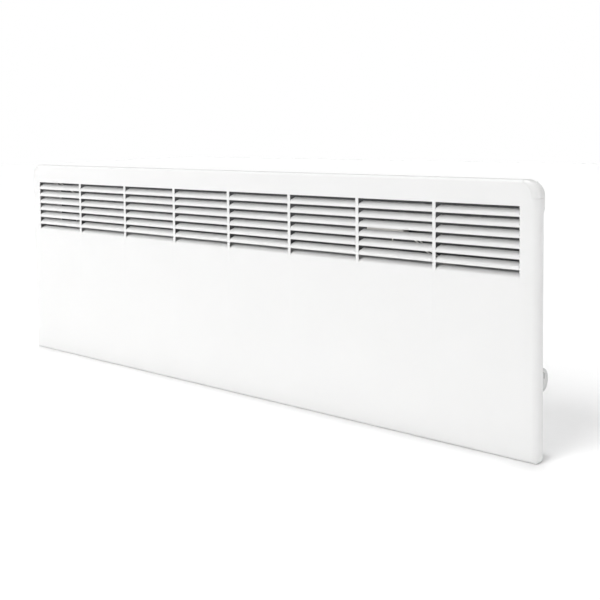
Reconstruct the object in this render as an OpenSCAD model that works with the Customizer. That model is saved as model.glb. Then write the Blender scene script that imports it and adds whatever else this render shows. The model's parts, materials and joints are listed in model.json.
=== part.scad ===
// Wall-hung panel convector heater: louvred steel front, rear tray, finned
// element, side control box and a hook-on wall bracket with turning catches.
// Every module is written in heater coordinates: x from the middle to the
// right, y from the front face towards the wall, z up from the lower edge.
// place() moves them so that the origin is the middle of the four wall screws,
// on the wall plane.

/* [Casing] */
// Number of louvre columns across the front
louvre_columns = 8; // [5:1:12]
// Distance from one louvre column to the next
column_pitch = 134; // [120:1:150]
// Height of the front panel
panel_h = 389; // [380:1:420]
// Front face to wall
wall_depth = 85; // [82:1:95]
// Front face to the rear of the tray
body_depth = 53; // [52:1:54]
// Depth of the front panel's folded edges
flange_depth = 18; // [17:1:19]
// Radius of the roll down each side of the front
side_roll = 10; // [8:1:12]
// Radius of the roll along the top and bottom of the front
top_roll = 5; // [4:1:6]
// Front sheet thickness
front_sheet = 0.8; // [0.7:0.1:1.2]

/* [Louvres] */
// Number of louvre rows
louvre_rows = 7; // [4:1:7]
// Distance from one row to the next
row_pitch = 14.6; // [13:0.2:15]
// Top edge of the first row below the panel's top
louvre_drop = 36; // [33:1:40]
// Height of each window
window_h = 11.6; // [11.4:0.1:11.8]
// Width of the rib between two columns
rib_w = 5.5; // [4:0.5:10]
// Angle that each flap is bent inwards from the sheet
flap_angle = 58; // [54:1:60]

/* [Controls] */
// Knob diameter
knob_d = 33.6; // [28:0.2:33.6]
// Height of the knob's middle above the lower edge
knob_z = 108; // [102:1:112]
// Height of the rocker switch's middle above the lower edge
switch_z = 160; // [156:1:164]

/* [Wall bracket] */
// Distance between the two wall-screw columns
screw_spacing_x = 594; // [500:2:660]
// Distance between the two wall-screw rows
screw_spacing_z = 200; // [190:1:210]
// Diameter of the wall-screw holes
screw_hole_d = 6.5; // [5:0.1:8]
// How far the heater lifts before its hook slots meet the hooks
lift_travel = 12; // [8:1:12]

/* [Hidden] */
$fn = 48;

// Front
panel_w = louvre_columns * column_pitch + 49;
half_w = panel_w / 2;
slot_w = column_pitch - rib_w;
louvre_w = (louvre_columns - 1) * column_pitch + slot_w;
flap_end_gap = 0.5;
flap_bend_r = 4;
cap_w = 22.5;
cap_h = 25.5;
cap_r = 22;
cap_wall = 2;
cap_gap = 0.25;
lip_w = 22.5;
bottom_corner_r = 5;

// Tray
tray_half_w = half_w - 20;
tray_z0 = 12;
tray_z1 = panel_h - 12;
tray_sheet = 0.7;
tray_roll = 4;
tray_inner_r = tray_roll - tray_sheet;
tray_flange_w = 11.5;
tray_inner_y = body_depth - tray_sheet;
wall_x = tray_half_w - tray_sheet;
screw_y0 = 12;

// Air path
duct_x0 = -tray_half_w + 75.5;
duct_x1 = tray_half_w - 96.5;
duct_z0 = 50;
louvre_top = panel_h - louvre_drop;
louvre_bottom = louvre_top - (louvre_rows - 1) * row_pitch - window_h;
baffle_z1 = louvre_bottom - 8;
shield_y = 44;
shield_t = 0.5;
deflector_z0 = baffle_z1 + 16;
deflector_knee = 330;
element_y = 29;
element_z = 110;
sheath_r = 4.2;

// Controls
control_y = 36.5;
box_x0 = wall_x - 69.5;
box_z0 = 72;
box_z1 = 200;
box_wall = 2;
knob_t = 13.3;
thermo_x = wall_x - 23;
thermo_half = 13;
tab_dz = 8;
tab_len = 7;
shaft_r = 3;
running_gap = 0.05;
rocker_r = 9.9;
rocker_axis_x = tray_half_w - 1;
gland_x = tray_half_w - 35.5;
gland_len = 24;
gland_y1 = body_depth + 12;
gland_z = 88;
stud_x = box_x0 + 16;
stud_z = 45;

// Bracket
screw_z = 190;
wall_hole_dx = 29;
upright_x = screw_spacing_x / 2 - wall_hole_dx;
upright_z0 = 60;
upright_z1 = 300;
tongue_z1 = 340;
web_y = body_depth + 1.5;
bracket_t = 1.5;
hook_z = 75;
hook_w = 24;
latch_z = 318;
latch_neck_r = 4;
cam_len = 26;
rail_z = [110, 270];
rail_half_h = 14;
rail_fold = 6;
rivet_dz = 7;
rivet_r = 2;
rivet_head_r = 3.8;
pad_half_w = 14;
pad_z0 = [150, 230];
pad_h = 26;
web_half_w = 20;
wall_flange_w = 18;
tongue_half_w = 14;
hook_y0 = 46;
hook_t = 2.5;
lever_t = 3.9;
lever_hub_r = 10;
lever_reach = 56;
lever_tip_r = 5;
cam_t = 2.8;
cam_w = 8;

// Placing and extruding
module place() translate([0, -wall_depth, -screw_z]) children();
module along_x(x0, x1) translate([x0, 0, 0]) rotate([90, 0, 90]) linear_extrude(x1 - x0) children();
module along_y(y0, y1) translate([0, y1, 0]) rotate([90, 0, 0]) linear_extrude(y1 - y0) children();
module along_z(z0, z1) translate([0, 0, z0]) linear_extrude(z1 - z0) children();
module box(low, high) translate(low) cube(high - low);
module rod_x(x0, x1, y, z, r) translate([x0, y, z]) rotate([0, 90, 0]) cylinder(h = x1 - x0, r = r);
module rod_y(y0, y1, x, z, r) translate([x, y1, z]) rotate([90, 0, 0]) cylinder(h = y1 - y0, r = r);
module rod_z(z0, z1, x, y, r) translate([x, y, z0]) cylinder(h = z1 - z0, r = r);
module swap_axes() mirror([1, -1]) children();

// A rectangle w wide, from y0 to y1, whose two corners at y0 are round
module front_round(w, y0, y1, r) {
    translate([-w / 2, y0 + r]) square([w, y1 - y0 - r]);
    translate([-w / 2 + r, y0]) square([w - 2 * r, r]);
    for (s = [-1, 1]) translate([s * (w / 2 - r), y0 + r]) circle(r);
}

// A rectangle with four round corners, seen from the front
module round_rect(hw, z0, z1, r) {
    translate([-hw, z0 + r]) square([2 * hw, z1 - z0 - 2 * r]);
    translate([-hw + r, z0]) square([2 * (hw - r), z1 - z0]);
    for (s = [-1, 1], z = [z0 + r, z1 - r]) translate([s * (hw - r), z]) circle(r);
}

// A pan with rolled edges all round one face: half width, height range, depth
module pan(hw, z0, z1, y0, y1, side_r, edge_r, corner_r) intersection() {
    along_z(z0, z1) front_round(2 * hw, y0, y1, side_r);
    along_x(-hw, hw) translate([0, (z0 + z1) / 2]) swap_axes() front_round(z1 - z0, y0, y1, edge_r);
    along_y(y0, y1) round_rect(hw, z0, z1, corner_r);
}

// A round wire: straight runs between a route's points, with a smooth bend at each
wire_sides = 8;
bend_steps = 4;
bend_reach = 7;
function unit(v) = v / norm(v);
function toward(a, b) = a + unit(b - a) * min(bend_reach, 0.45 * norm(b - a));
function bend(a, p, b, t) = pow(1 - t, 2) * toward(p, a) + 2 * t * (1 - t) * p + t * t * toward(p, b);
function route(p) = concat([p[0]],
    [for (i = [1 : len(p) - 2], k = [0 : bend_steps]) bend(p[i - 1], p[i], p[i + 1], k / bend_steps)],
    [p[len(p) - 1]]);
function heading(p, i) = unit(p[min(i + 1, len(p) - 1)] - p[max(i - 1, 0)]);
function square_to(u, t) = unit(u - (u * t) * t);
function frames(p, i, u) = i == len(p) ? [] :
    let (v = square_to(u, heading(p, i))) concat([v], frames(p, i + 1, v));
module wire(points, r) {
    path = route(points);
    first = abs(heading(path, 0)[1]) > 0.9 ? [1, 0, 0] : [0, 1, 0];
    sides = frames(path, 0, first);
    n = wire_sides;
    last = len(path) - 1;
    rings = [for (i = [0 : last], k = [0 : n - 1])
        let (a = 360 * k / n, t = heading(path, i)) path[i] + r * (cos(a) * sides[i] + sin(a) * cross(t, sides[i]))];
    skin = [for (i = [0 : last - 1], k = [0 : n - 1])
        [i * n + k, (i + 1) * n + k, (i + 1) * n + (k + 1) % n, i * n + (k + 1) % n]];
    polyhedron(rings, concat([[for (k = [0 : n - 1]) k]], skin, [[for (k = [n - 1 : -1 : 0]) last * n + k]]));
}

// Louvres
function column_x0(c) = -louvre_w / 2 + c * column_pitch;
function window_z0(r) = louvre_top - r * row_pitch - window_h;
flap_straight = window_h - flap_bend_r * flap_angle * PI / 180;
// Centre line of the flap's front surface, from the window's lower edge, as (y, z)
function flap_arc(radius, steps = 4) =
    [for (i = [0 : steps]) let (a = flap_angle * i / steps) [flap_bend_r - radius * cos(a), radius * sin(a)]];
function flap_tip(p) = p + flap_straight * [sin(flap_angle), cos(flap_angle)];
function flap_outline() =
    let (front = flap_arc(flap_bend_r), back = flap_arc(flap_bend_r - front_sheet), n = len(front) - 1)
    concat([[0, -1]], front, [flap_tip(front[n]), flap_tip(back[n])], [for (i = [n : -1 : 0]) back[i]],
           [[front_sheet, -1]]);

module louvre_windows() along_y(-1, front_sheet + 0.5)
    for (c = [0 : louvre_columns - 1], r = [0 : louvre_rows - 1])
        translate([column_x0(c), window_z0(r)]) square([slot_w, window_h]);

module louvre_flaps()
    for (c = [0 : louvre_columns - 1])
        along_x(column_x0(c) + flap_end_gap, column_x0(c) + slot_w - flap_end_gap)
            for (r = [0 : louvre_rows - 1]) translate([0, window_z0(r)]) polygon(flap_outline());

// Casing screws: along the top and bottom edges, and two down each side
function screw_places() = concat(
    [for (x = [-400 : 200 : 400], z = [7, panel_h - 7]) [x, z]],
    [for (s = [-1, 1], z = [90, 270]) [s * (half_w - 14), z]]);
screw_shank_r = 1.9;
module screw_shanks(y0, y1) for (p = screw_places()) rod_y(y0, y1, p[0], p[1], screw_shank_r);

// Corners of the front that the caps take over
module cap_space(grow) for (s = [-1, 1])
    translate([s * (half_w - cap_w / 2 + 2), 0, panel_h - cap_h / 2 + 2])
        cube([cap_w + 4 + 2 * grow, 3 * body_depth, cap_h + 4 + 2 * grow], center = true);

module front_panel() place() color("white") difference() {
    union() {
        difference() {
            pan(half_w, 0, panel_h, 0, flange_depth, side_roll, top_roll, bottom_corner_r);
            pan(half_w - front_sheet, front_sheet, panel_h - front_sheet, front_sheet,
                flange_depth - front_sheet, side_roll - front_sheet, top_roll - front_sheet,
                bottom_corner_r - front_sheet);
            box([-half_w + lip_w, flange_depth - 3, tray_z0 + 2.5],
                [half_w - lip_w, flange_depth + 1, tray_z1 - 2.5]);
            louvre_windows();
        }
        louvre_flaps();
    }
    cap_space(0);
    screw_shanks(screw_y0, flange_depth + 1);
}

// Right-hand corner cap: a hollow moulding with a rear ear and a tongue.
// cap_block is its outer form, inset by the wall to make the hollow.
module cap_block(inset, y1) intersection() {
    pan(half_w - inset, inset, panel_h - inset, inset, y1, side_roll - inset, top_roll - inset,
        bottom_corner_r - inset);
    along_y(-1, y1 + 1) {
        translate([half_w - cap_r, panel_h - cap_r]) circle(cap_r - inset);
        translate([half_w - cap_w, panel_h - cap_h - 1]) square([cap_w - inset, cap_h - cap_r + 1]);
    }
}
ear_depth = 5;
ear_h = 46;
ear_t = 2.5;
module corner_cap_right() place() color("whitesmoke") union() {
    difference() {
        intersection() {
            cap_block(0, flange_depth);
            box([half_w - cap_w + cap_gap, -1, panel_h - cap_h + cap_gap], [half_w, flange_depth, panel_h]);
        }
        cap_block(cap_wall, flange_depth + 1);
    }
    along_x(half_w - 0.5 - ear_t, half_w - 0.5) polygon([
        [flange_depth - 8, panel_h - cap_r], [flange_depth + ear_depth, panel_h - cap_r],
        [flange_depth + ear_depth, panel_h - ear_h + 6], [flange_depth + 0.3, panel_h - ear_h],
        [flange_depth + 0.3, panel_h - cap_h + cap_gap], [flange_depth - 8, panel_h - cap_h + cap_gap]
    ]);
    box([half_w - front_sheet - 1.5, 10.5, panel_h - cap_h - 8],
        [half_w - front_sheet, flange_depth - front_sheet - 0.3, panel_h - cap_h + 2]);
}
module corner_cap_left() mirror([1, 0, 0]) corner_cap_right();

// Slots in the tray for the bracket's hooks and for its catches
module bracket_slots() for (s = [-1, 1]) {
    translate([s * upright_x, body_depth, 0]) {
        box([-hook_w / 2 - 1, -3, hook_z - 2.5 - lift_travel - 0.5], [hook_w / 2 + 1, 3, hook_z + running_gap]);
        box([-latch_neck_r - 1.2, -3, latch_z - cam_len / 2 - lift_travel - 0.5],
            [latch_neck_r + 1.2, 3, latch_z + latch_neck_r + 0.5]);
    }
}
module tray_vents() along_y(tray_inner_y - 1, body_depth + 1)
    for (i = [-10 : 10], z = [24, 36]) if (abs(abs(i * 46) - upright_x) > 36) translate([i * 46 - 16, z]) square([32, 5]);

module rear_tray() place() color("gainsboro") difference() {
    union() {
        translate([0, body_depth + flange_depth, 0]) mirror([0, 1, 0]) difference() {
            pan(tray_half_w, tray_z0, tray_z1, flange_depth, body_depth, tray_roll, tray_roll, tray_roll);
            pan(wall_x, tray_z0 + tray_sheet, tray_z1 - tray_sheet, flange_depth + tray_sheet,
                body_depth + 1, tray_inner_r, tray_inner_r, tray_inner_r);
        }
        along_y(flange_depth, flange_depth + tray_sheet) difference() {
            translate([-tray_half_w - tray_flange_w, 3]) square([2 * (tray_half_w + tray_flange_w), panel_h - 6]);
            round_rect(wall_x, tray_z0 + tray_sheet, tray_z1 - tray_sheet, tray_inner_r);
        }
    }
    screw_shanks(flange_depth - 1, flange_depth + 4);
    bracket_slots();
    tray_vents();
    box([-460, 24, tray_z0 - 1], [460, 47, tray_z0 + tray_sheet + 1]);
    rod_x(wall_x - 1, tray_half_w + 1, control_y, knob_z, 4.7);
    box([wall_x - 1, control_y - 6.4, switch_z - 11], [tray_half_w + 1, control_y + 6.4, switch_z + 11]);
    rod_x(wall_x - 1, tray_half_w + 1, control_y, switch_z + 25, 2.5);
    rod_y(tray_inner_y - 1, body_depth + 1, gland_x, gland_z, 6);
    rod_y(tray_inner_y - 1, body_depth + 1, stud_x, stud_z, 2);
}

module intake_grille() place() color("silver") along_z(tray_z0 + tray_sheet, tray_z0 + 2 * tray_sheet)
    difference() {
        translate([-470, 21]) square([940, tray_inner_y - tray_inner_r - 21]);
        for (i = [-22 : 22]) translate([i * 20 - 7, 26]) square([14, 19]);
    }

module casing_screws() place() color("silver") for (p = screw_places()) {
    rod_y(screw_y0, flange_depth + tray_sheet + 0.1, p[0], p[1], screw_shank_r);
    difference() {
        rod_y(flange_depth + tray_sheet, flange_depth + tray_sheet + 2.2, p[0], p[1], 3.6);
        for (a = [0, 90]) translate([p[0], flange_depth + tray_sheet + 2.2, p[1]]) rotate([0, a, 0])
            cube([4, 1.6, 0.9], center = true);
    }
}

// Inner air guide: stands 2 mm clear of the element brackets' heat path
baffle_x = 505;
baffle_y = 14;
module inner_baffle() place() color("silver") along_x(-baffle_x, baffle_x - 25) {
    translate([baffle_y, duct_z0 - 5]) square([shield_t, baffle_z1 - duct_z0 + 5]);
    translate([4, baffle_z1 - shield_t]) square([baffle_y - 4 + shield_t / 2, shield_t]);
}

module heat_shield() place() color("silver") along_x(duct_x0 + 2, duct_x1 - 1) {
    translate([shield_y, duct_z0]) square([shield_t, baffle_z1 + 4 - duct_z0]);
    for (z = [duct_z0, baffle_z1 + 4 - shield_t]) translate([shield_y, z]) square([tray_inner_y - shield_y, shield_t]);
}

module air_deflector() place() color("darkgray") difference() {
    along_x(-wall_x + 20, wall_x - 20) polygon([
        [tray_inner_y, deflector_z0], [tray_inner_y, deflector_z0 + shield_t],
        [shield_y + shield_t, deflector_z0 + shield_t], [shield_y + shield_t, deflector_knee],
        [24 + shield_t, tray_z1 - 3], [24, tray_z1 - 3], [shield_y, deflector_knee], [shield_y, deflector_z0]
    ]);
    rod_y(shield_y - 1, shield_y + 2, grommet_x, grommet_z, 2.8);
    rod_z(deflector_z0 - 1, deflector_z0 + 2, return_x, return_y - 1, 2);
}

// Element
fin_x0 = duct_x0 + 15;
fin_x1 = duct_x1 - 15;
module element_fins() place() color("silver") difference() {
    along_x(fin_x0, fin_x1) translate([element_y, element_z]) difference() {
        union() {
            circle(6.5);
            for (a = [-17, 17, 163, 197]) rotate(a) translate([-0.7, 0]) square([1.4, 34]);
        }
        circle(sheath_r);
    }
    for (x = [fin_x0 + 40 : 40 : fin_x1 - 20], s = [-1, 1])
        box([x - 1.5, element_y - 14, element_z + s * 24 - 11], [x + 1.5, element_y + 14, element_z + s * 24 + 11]);
}
stud_reach = 18;
module element_sheath() place() color("dimgray") {
    rod_x(duct_x0 - 12, duct_x1 + 12, element_y, element_z, sheath_r);
    for (x = [duct_x0 - stud_reach, duct_x1 + 11.9]) rod_x(x, x + stud_reach - 11.9, element_y, element_z, 1.5);
}
module insulator(x, s) translate([x, element_y, element_z]) rotate([0, s * 90, 0]) difference() {
    union() {
        cylinder(h = 5, r = 13);
        translate([0, 0, -4]) cylinder(h = 4.5, r = 9.5);
    }
    translate([0, 0, -5]) cylinder(h = 12, r = sheath_r);
}
module element_insulators() place() color("ivory") {
    insulator(duct_x0 + 1, 1);
    insulator(duct_x1, -1);
}
module element_bracket(x, s) difference() {
    union() {
        box([x, baffle_y + 1, element_z - 38], [x + 1, tray_inner_y, element_z + 38]);
        box([x + min(s, 0) * 13 + (s < 0 ? 1 : 0), tray_inner_y - 1, element_z - 38],
            [x + max(s, 0) * 13 + (s < 0 ? 1 : 0), tray_inner_y, element_z + 38]);
    }
    rod_x(x - 1, x + 2, element_y, element_z, 9.5);
}
module element_bracket_left() place() color("silver") element_bracket(duct_x0, -1);
module element_bracket_right() place() color("silver") element_bracket(duct_x1, 1);

// Overheat limiter: a body over the right-hand end of the element, and a
// capillary that runs the length of the element behind the louvres
wire_y = 30;
limiter_x0 = column_x0(louvre_columns - 2);
limiter_x1 = limiter_x0 + 66;
limiter_y0 = 24;
limiter_z0 = louvre_top - 4 * row_pitch - 3.6;
limiter_h = 17;
module overheat_limiter() place() color("ivory") difference() {
    union() {
        box([limiter_x0, limiter_y0, limiter_z0], [limiter_x1, limiter_y0 + 14, limiter_z0 + limiter_h]);
        for (z = [4, 9.5]) box([limiter_x1 - 0.5, wire_y - 3, limiter_z0 + z - 0.4], [limiter_x1 + 8, wire_y + 3, limiter_z0 + z + 0.4]);
    }
    for (x = [limiter_x0 + 8, limiter_x1 - 8]) rod_y(limiter_y0 - 1, limiter_y0 + 15, x, limiter_z0 + limiter_h / 2, 1.7);
}
module limiter_bracket() place() color("silver") along_z(limiter_z0 + 2, limiter_z0 + limiter_h - 2) difference() {
    translate([limiter_x0 + 2, limiter_y0 + 14]) square([limiter_x1 - limiter_x0 - 4, shield_y - limiter_y0 - 14]);
    translate([limiter_x0 + 14, limiter_y0 + 15]) square([limiter_x1 - limiter_x0 - 28, shield_y]);
    for (x = [limiter_x0 - 1, limiter_x1 - 13]) translate([x, limiter_y0 + 15]) square([14, shield_y - limiter_y0 - 16]);
}
capillary_z = louvre_top - 5 * row_pitch + 1;
capillary_x = column_x0(0) + 81;
module limiter_capillary() place() color("ghostwhite") wire([
    [limiter_x0 + 43, wire_y, limiter_z0], [limiter_x0 + 43, wire_y, capillary_z + 4],
    [limiter_x0 + 35, wire_y, capillary_z], [capillary_x + 5, wire_y, capillary_z],
    [capillary_x, wire_y, capillary_z - 4], [capillary_x, wire_y, capillary_z - 11],
    [capillary_x - 6, wire_y, capillary_z - 13], [capillary_x - 22, wire_y, capillary_z - 13]
], 1.1);
// Clips stand out from the deflector and close round the capillary
module capillary_clips() place() color("silver") for (x = [-300 : 150 : 150]) difference() {
    box([x - 4, wire_y - 2.6, capillary_z - 2.4], [x + 4, shield_y, capillary_z + 2.4]);
    box([x - 5, wire_y + 3, capillary_z - 3], [x + 5, shield_y - 1, capillary_z + 1.2]);
    rod_x(x - 5, x + 5, wire_y, capillary_z, 1.1);
}
lead_r = 1.3;
function limiter_run(i) = [
    [limiter_x1 + 8, wire_y, limiter_z0 + 4 + 5.5 * i], [limiter_x1 + 18 + 2 * i, wire_y, limiter_z0 - 1 + 5.5 * i],
    [limiter_x1 + 35 + 4 * i, wire_y - 1, limiter_z0 - 15 + 2 * i], [limiter_x1 + 58 + 8 * i, wire_y - 1, limiter_z0 - 28 + 2 * i],
    [box_x0 + 14 + 12 * i, wire_y, box_z1 + 26], [box_x0 + 20 + 12 * i, wire_y, box_z1 + 10],
    [box_x0 + 20 + 12 * i, wire_y, box_z1 - 12]
];
module limiter_leads() place() color("white") {
    wire(concat(limiter_run(0), [
        [box_x0 + 18, wire_y, 165], [box_x0 + 5.5, wire_y + 4, 150], [box_x0 + 5.5, 44, 136], [terminal_x, 44, 136]
    ]), lead_r);
    wire(concat(limiter_run(1), [
        [box_x0 + 24, wire_y, 160], [box_x0 + 24, wire_y, 116],
        [thermo_x - 23, control_y, knob_z - tab_dz], [thermo_x - tab_len, control_y, knob_z - tab_dz]
    ]), lead_r);
}

// Return lead: from the element's left-hand end up the side of the tray, through
// the air deflector and back to the control box behind it
grommet_x = column_x0(0) + 74;
grommet_z = deflector_knee - 5;
return_y = 48;
return_z = deflector_z0 + 11;
return_x = box_x0 + 9;
module return_lead() place() color("white") wire([
    [duct_x0 - stud_reach, element_y, element_z], [duct_x0 - stud_reach - 8, element_y, element_z],
    [-wall_x + 14, wire_y + 3, element_z + 45], [-wall_x + 12, wire_y + 4, louvre_top - 30],
    [-wall_x + 16, wire_y + 1, louvre_top - 3], [-wall_x + 32, wire_y, louvre_top - 2],
    [column_x0(0) + 34, wire_y, louvre_top - 5], [column_x0(0) + 63, wire_y + 3, louvre_top - 19],
    [grommet_x - 2, shield_y - 5, grommet_z + 3], [grommet_x + 2, return_y, grommet_z - 3],
    [grommet_x + 8, return_y, return_z + 12], [grommet_x + 18, return_y, return_z],
    [return_x - 8, return_y, return_z], [return_x, return_y - 1, return_z - 8],
    [return_x, return_y - 1, box_z1 - 12], [terminal_x + 5, 44, 165], [terminal_x + 5, 44, 148]
], lead_r);

// Control box, fixed inside the tray's right-hand wall
box_y1 = tray_inner_y;
box_y0 = 22;
// Outer form of the box, inset by its wall; its edge is cut off where the tray's is rolled
module box_block(inset, y0) along_z(box_z0 + inset, box_z1 - inset) polygon([
    [box_x0 + inset, y0], [wall_x - inset, y0], [wall_x - inset, box_y1 - tray_inner_r - 0.4 * inset],
    [wall_x - tray_inner_r - 0.4 * inset, box_y1 - inset], [box_x0 + inset, box_y1 - inset]
]);
module control_housing() place() color("dimgray") difference() {
    box_block(0, box_y0);
    box_block(box_wall, box_y0 - 1);
    rod_x(wall_x - 3, wall_x + 1, control_y, knob_z, 4.5);
    box([wall_x - 3, control_y - 6.3, switch_z - 10.8], [wall_x + 1, control_y + 6.3, switch_z + 10.8]);
    rod_x(wall_x - 3, wall_x + 1, control_y, switch_z + 25, 2.5);
    rod_y(box_y1 - 3, box_y1 + 1, gland_x, gland_z, 6);
    for (x = [20, 32]) rod_z(box_z1 - 3, box_z1 + 1, box_x0 + x, wire_y, lead_r);
    rod_z(box_z1 - 3, box_z1 + 1, return_x, return_y - 1, lead_r);
    rod_x(box_x0 - 1, box_x0 + 3, element_y + 3, 124, lead_r);
    rod_z(box_z0 - 1, box_z0 + 3, stud_x, 44, lead_r);
    rod_z(box_z0 - 1, box_z0 + 3, box_x0 + 50, control_y, 1);
}
module control_cover() place() color("gray") difference() {
    box([box_x0, box_y0 - 1.5, box_z0], [wall_x, box_y0, box_z1]);
    for (z = [84, 98, 174, 188]) box([box_x0 + 14, box_y0 - 2, z], [wall_x - 14, box_y0 + 1, z + 4]);
}
module thermostat_body() place() color("ivory") difference() {
    union() {
        box([thermo_x, control_y - 12, knob_z - thermo_half], [wall_x - box_wall, control_y + 12, knob_z + thermo_half]);
        rod_x(wall_x - box_wall - 1, tray_half_w + 1.2, control_y, knob_z, 4.5);
        for (z = [-tab_dz, tab_dz]) box([thermo_x - tab_len, control_y - 3, knob_z + z - 0.4], [thermo_x + 0.5, control_y + 3, knob_z + z + 0.4]);
    }
    rod_x(thermo_x + 10, tray_half_w + 2, control_y, knob_z, shaft_r + running_gap);
}
module thermostat_shaft() place() color("silver")
    rod_x(thermo_x + 10.2, tray_half_w + 8.5, control_y, knob_z, shaft_r);
knob_x = tray_half_w + 0.7;
module thermostat_knob() place() color("lightgray") translate([knob_x, control_y, knob_z]) rotate([0, 90, 0])
    rotate_extrude() union() {
        polygon([
            [shaft_r, 1.2], [6, 1.2], [6, knob_t - 2.4], [knob_d / 2 - 2.2, knob_t - 2.4], [knob_d / 2 - 2.2, 0],
            [knob_d / 2, 0], [knob_d / 2, knob_t - 1.4], [knob_d / 2 - 1.4, knob_t], [0, knob_t],
            [0, tray_half_w + 8.5 - knob_x], [shaft_r, tray_half_w + 8.5 - knob_x]
        ]);
    }
module switch_frame() place() color("black") difference() {
    union() {
        box([wall_x - 20, control_y - 6.3, switch_z - 10.8], [tray_half_w + 1, control_y + 6.3, switch_z + 10.8]);
        box([tray_half_w, control_y - 7.8, switch_z - 12.8], [tray_half_w + 1.8, control_y + 7.8, switch_z + 12.8]);
        for (z = [-6, 6]) box([wall_x - 28, control_y - 3, switch_z + z - 0.4], [wall_x - 19.5, control_y + 3, switch_z + z + 0.4]);
    }
    box([wall_x - 14, control_y - 5.5, switch_z - 10], [tray_half_w + 3, control_y + 5.5, switch_z + 10]);
    rod_y(control_y - 6.4, control_y + 6.4, rocker_axis_x, switch_z, 1.5 + running_gap);
}
module switch_rocker() place() color("dimgray") union() {
    along_y(control_y - 5.3, control_y + 5.3) translate([rocker_axis_x, switch_z]) rotate(-8) intersection() {
        circle(rocker_r);
        polygon([[-6, -12], [4.6, -12], [2.6, 0], [4.6, 12], [-6, 12]]);
    }
    rod_y(control_y - 6.2, control_y + 6.2, rocker_axis_x, switch_z, 1.5);
}
module indicator_lens() place() color("orangered") translate([wall_x - 6, control_y, switch_z + 25]) rotate([0, 90, 0])
    rotate_extrude() union() {
        square([2.5, 7]);
        intersection() {
            translate([0, 7]) square([4, 4]);
            translate([0, 4.5]) circle(5);
        }
    }
terminal_x = box_x0 + 11;
terminal_w = 10;
module terminal_rods(sink) for (i = [0 : 2])
    rod_y(box_y1 - box_wall - 13 + 2 * sink, box_y1 - box_wall - 4, terminal_x + terminal_w / 2, 116 + 13 * i, 2);
module terminal_block() place() color("ivory") difference() {
    box([terminal_x, box_y1 - box_wall - 12, 110], [terminal_x + terminal_w, box_y1 - box_wall, 148]);
    terminal_rods(0);
}
module terminal_screws() place() color("goldenrod") terminal_rods(0.5);
module supply_leads() place() color("sienna") {
    wire([[terminal_x + terminal_w, 44, 143], [terminal_x + terminal_w + 6, 44, 143],
        [wall_x - 36, control_y + 2, switch_z + 6], [wall_x - 28, control_y, switch_z + 6]], lead_r);
    wire([[thermo_x - tab_len, control_y, knob_z + tab_dz], [thermo_x - 15, control_y, knob_z + tab_dz],
        [thermo_x - 15, control_y, switch_z - 20], [wall_x - 35, control_y, switch_z - 6],
        [wall_x - 28, control_y, switch_z - 6]], lead_r);
}
module element_lead() place() color("white") wire([
    [duct_x1 + stud_reach, element_y, element_z], [box_x0 - 2.6, element_y, element_z],
    [box_x0 - 2.6, element_y + 3, 124], [box_x0 + 5.5, element_y + 3, 124], [box_x0 + 5.5, 44, 124], [terminal_x, 44, 124]
], lead_r);
module room_sensor() place() color("peru") {
    rod_x(box_x0 - 20, box_x0 + 40, control_y, 30, 3);
    wire([[box_x0 + 40, control_y, 30], [box_x0 + 50, control_y, 40], [box_x0 + 50, control_y, knob_z - thermo_half]], 1);
}
module sensor_clip() place() color("silver") difference() {
    box([box_x0 + 6, control_y - 4.5, 26], [box_x0 + 14, tray_inner_y, 34]);
    rod_x(box_x0 + 5, box_x0 + 15, control_y, 30, 3);
    box([box_x0 + 5, control_y + 5, 25], [box_x0 + 15, tray_inner_y - 1, 32.5]);
}
module earth_stud() place() color("silver") {
    rod_y(41, body_depth + 0.6, stud_x, stud_z, 2);
    rod_y(body_depth, body_depth + 1.2, stud_x, stud_z, 4);
    difference() {
        rod_y(47, tray_inner_y, stud_x, stud_z, 4);
        rod_y(45, tray_inner_y + 1, stud_x, stud_z, 1.9);
    }
}
module earth_lead() place() color("yellowgreen") wire([
    [stud_x, 44, stud_z + 2], [stud_x, 44, box_z0 + 12], [stud_x + 4, 42, box_z0 + 22],
    [stud_x, 44, box_z0 + 32], [stud_x, 44, 110]
], lead_r);
module cable_gland() place() color("dimgray") difference() {
    union() {
        rod_y(gland_y1 - gland_len, body_depth + 1, gland_x, gland_z, 6);
        rod_y(body_depth, body_depth + 4, gland_x, gland_z, 9);
        rod_y(body_depth + 3, gland_y1, gland_x, gland_z, 7);
    }
    rod_y(gland_y1 - gland_len - 1, gland_y1 + 1, gland_x, gland_z, 4);
}
module gland_nut() place() color("dimgray") translate([gland_x, box_y1 - box_wall, gland_z]) rotate([90, 0, 0]) difference() {
    cylinder(h = 4, r = 9.5, $fn = 6);
    translate([0, 0, -1]) cylinder(h = 6, r = 6);
}

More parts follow.
